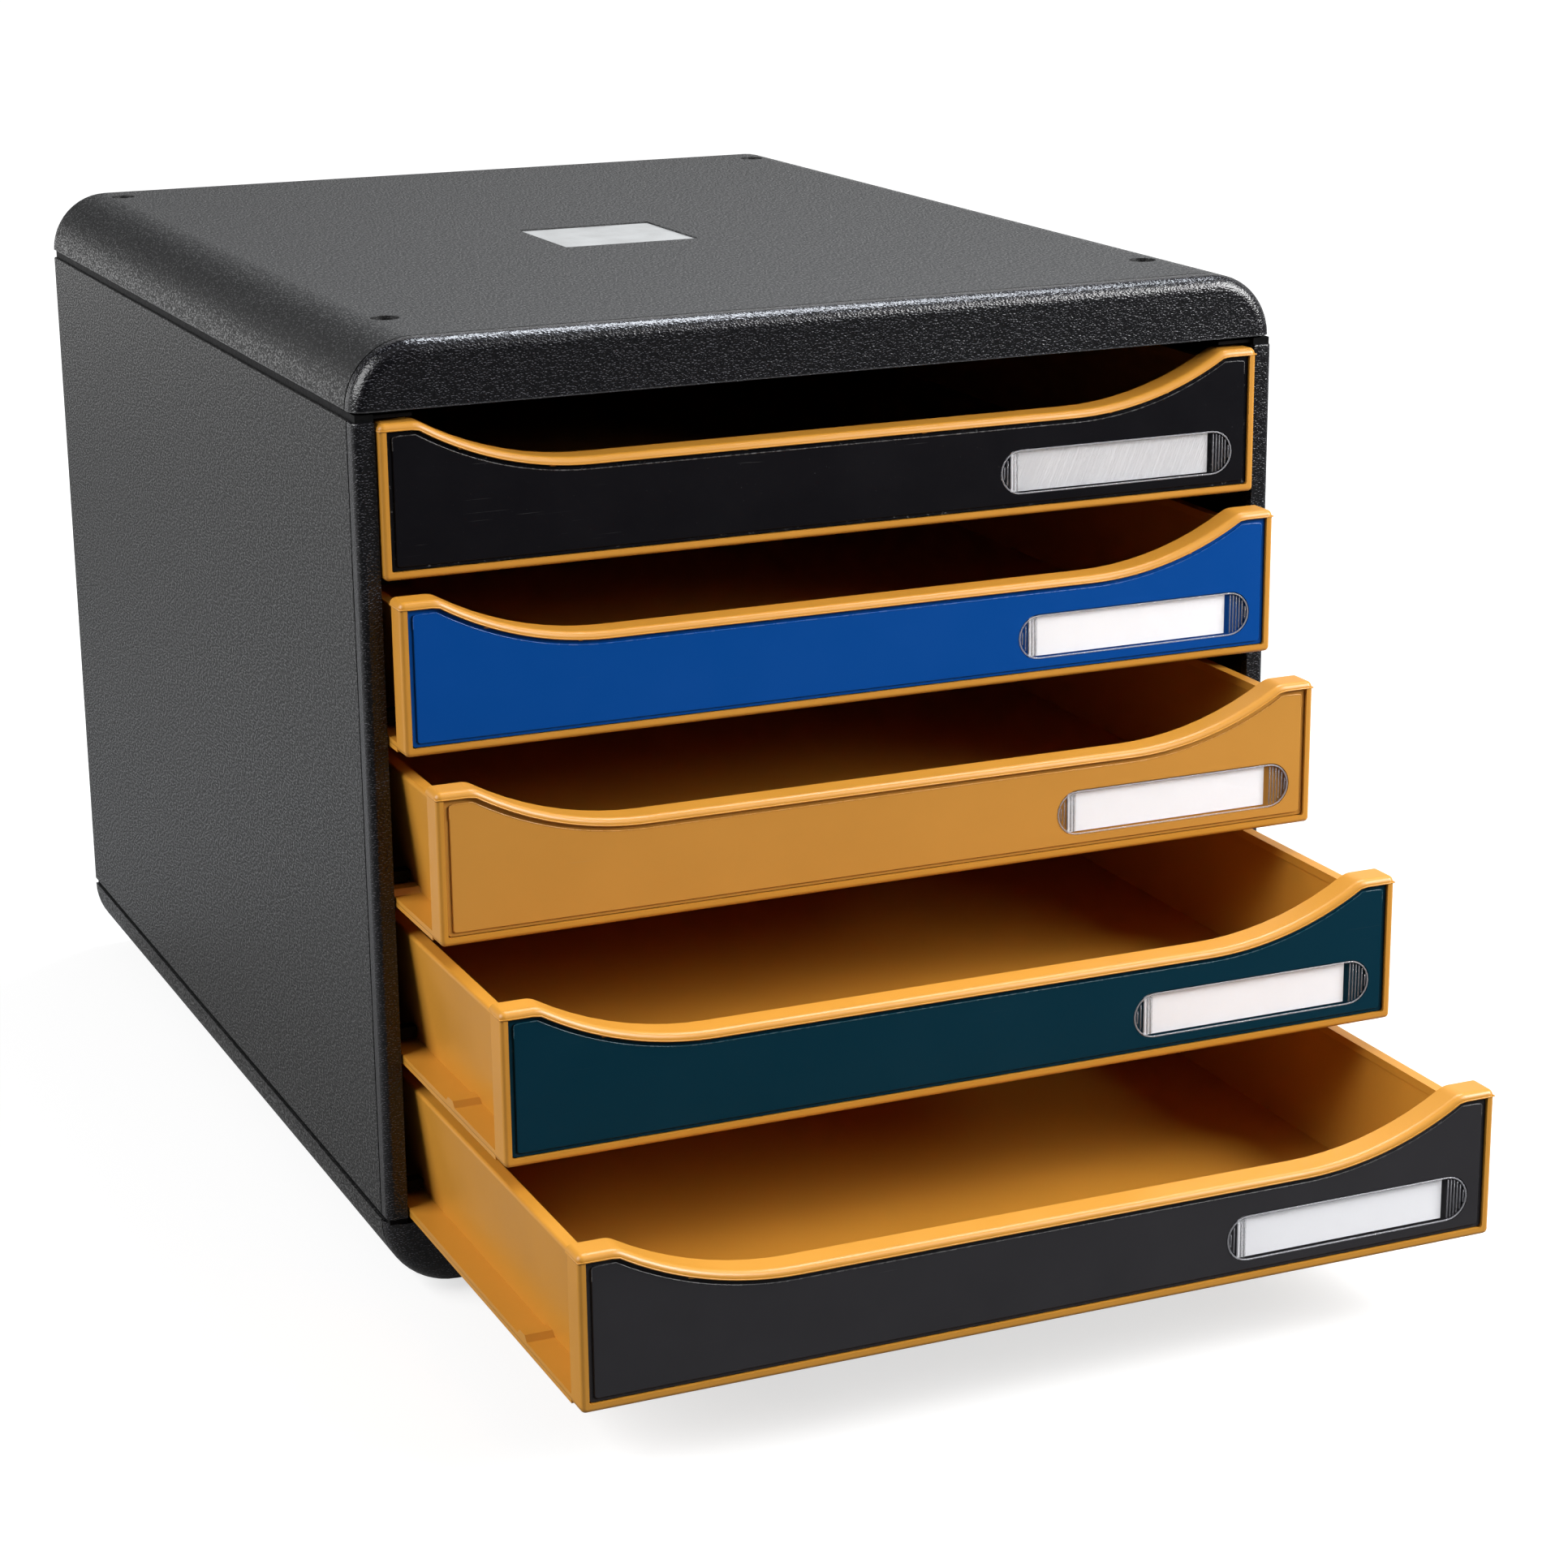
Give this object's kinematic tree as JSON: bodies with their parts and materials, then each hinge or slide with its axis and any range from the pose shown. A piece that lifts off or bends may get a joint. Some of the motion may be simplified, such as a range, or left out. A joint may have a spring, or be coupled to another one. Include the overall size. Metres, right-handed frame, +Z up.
{
  "type": "desktop mini drawers",
  "caption": "Desktop drawer module: gold plastic drawers with dipped fronts, coloured inserts and label windows slide in a dark grey casing with rounded edges.",
  "frame": {"origin": "middle of the low plinth under the casing, on the plane the casing stands on", "axes": "+Z up, -Y the way the drawers pull out, +X to the right seen from the front"},
  "size_m": [0.278, 0.4835, 0.271],
  "materials": {
    "casing_grey": "fine speckled matte",
    "casing_black": "grained matte",
    "badge_metal": "satin",
    "pad_rubber": "matte",
    "drawer_gold": "satin",
    "insert_black": "gloss",
    "insert_blue": "satin",
    "insert_gold": "satin",
    "insert_teal": "satin",
    "insert_charcoal": "satin",
    "label_paper": "matte",
    "label_clear": "clear gloss"
  },
  "bodies": {
    "casing": {"base_tray": "casing_grey", "top_cover": "casing_grey", "left_side_panel": "casing_grey", "right_side_panel": "casing_grey", "left_runner_rack": "casing_black", "right_runner_rack": "casing_black", "back_panel": "casing_black", "badge_plate": "badge_metal", "foot_pad_front_left": "pad_rubber", "foot_pad_front_right": "pad_rubber", "foot_pad_rear_left": "pad_rubber", "foot_pad_rear_right": "pad_rubber"},
    "drawer_1": {"drawer_1_tray": "drawer_gold", "drawer_1_front_insert": "insert_black", "drawer_1_label_card": "label_paper", "drawer_1_label_cover": "label_clear"},
    "drawer_2": {"drawer_2_tray": "drawer_gold", "drawer_2_front_insert": "insert_blue", "drawer_2_label_card": "label_paper", "drawer_2_label_cover": "label_clear"},
    "drawer_3": {"drawer_3_tray": "drawer_gold", "drawer_3_front_insert": "insert_gold", "drawer_3_label_card": "label_paper", "drawer_3_label_cover": "label_clear"},
    "drawer_4": {"drawer_4_tray": "drawer_gold", "drawer_4_front_insert": "insert_teal", "drawer_4_label_card": "label_paper", "drawer_4_label_cover": "label_clear"},
    "drawer_5": {"drawer_5_tray": "drawer_gold", "drawer_5_front_insert": "insert_charcoal", "drawer_5_label_card": "label_paper", "drawer_5_label_cover": "label_clear"}
  },
  "joints": [
    {"name": "drawer_1_slide", "type": "slide", "parent": "casing", "child": "drawer_1", "axis": [0, -1, 0], "range_m": [0, 0.235]},
    {"name": "drawer_2_slide", "type": "slide", "parent": "casing", "child": "drawer_2", "axis": [0, -1, 0], "range_m": [-0.0118, 0.2232]},
    {"name": "drawer_3_slide", "type": "slide", "parent": "casing", "child": "drawer_3", "axis": [0, -1, 0], "range_m": [-0.0363, 0.1987]},
    {"name": "drawer_4_slide", "type": "slide", "parent": "casing", "child": "drawer_4", "axis": [0, -1, 0], "range_m": [-0.0821, 0.1529]},
    {"name": "drawer_5_slide", "type": "slide", "parent": "casing", "child": "drawer_5", "axis": [0, -1, 0], "range_m": [-0.1345, 0.1005]}
  ]
}
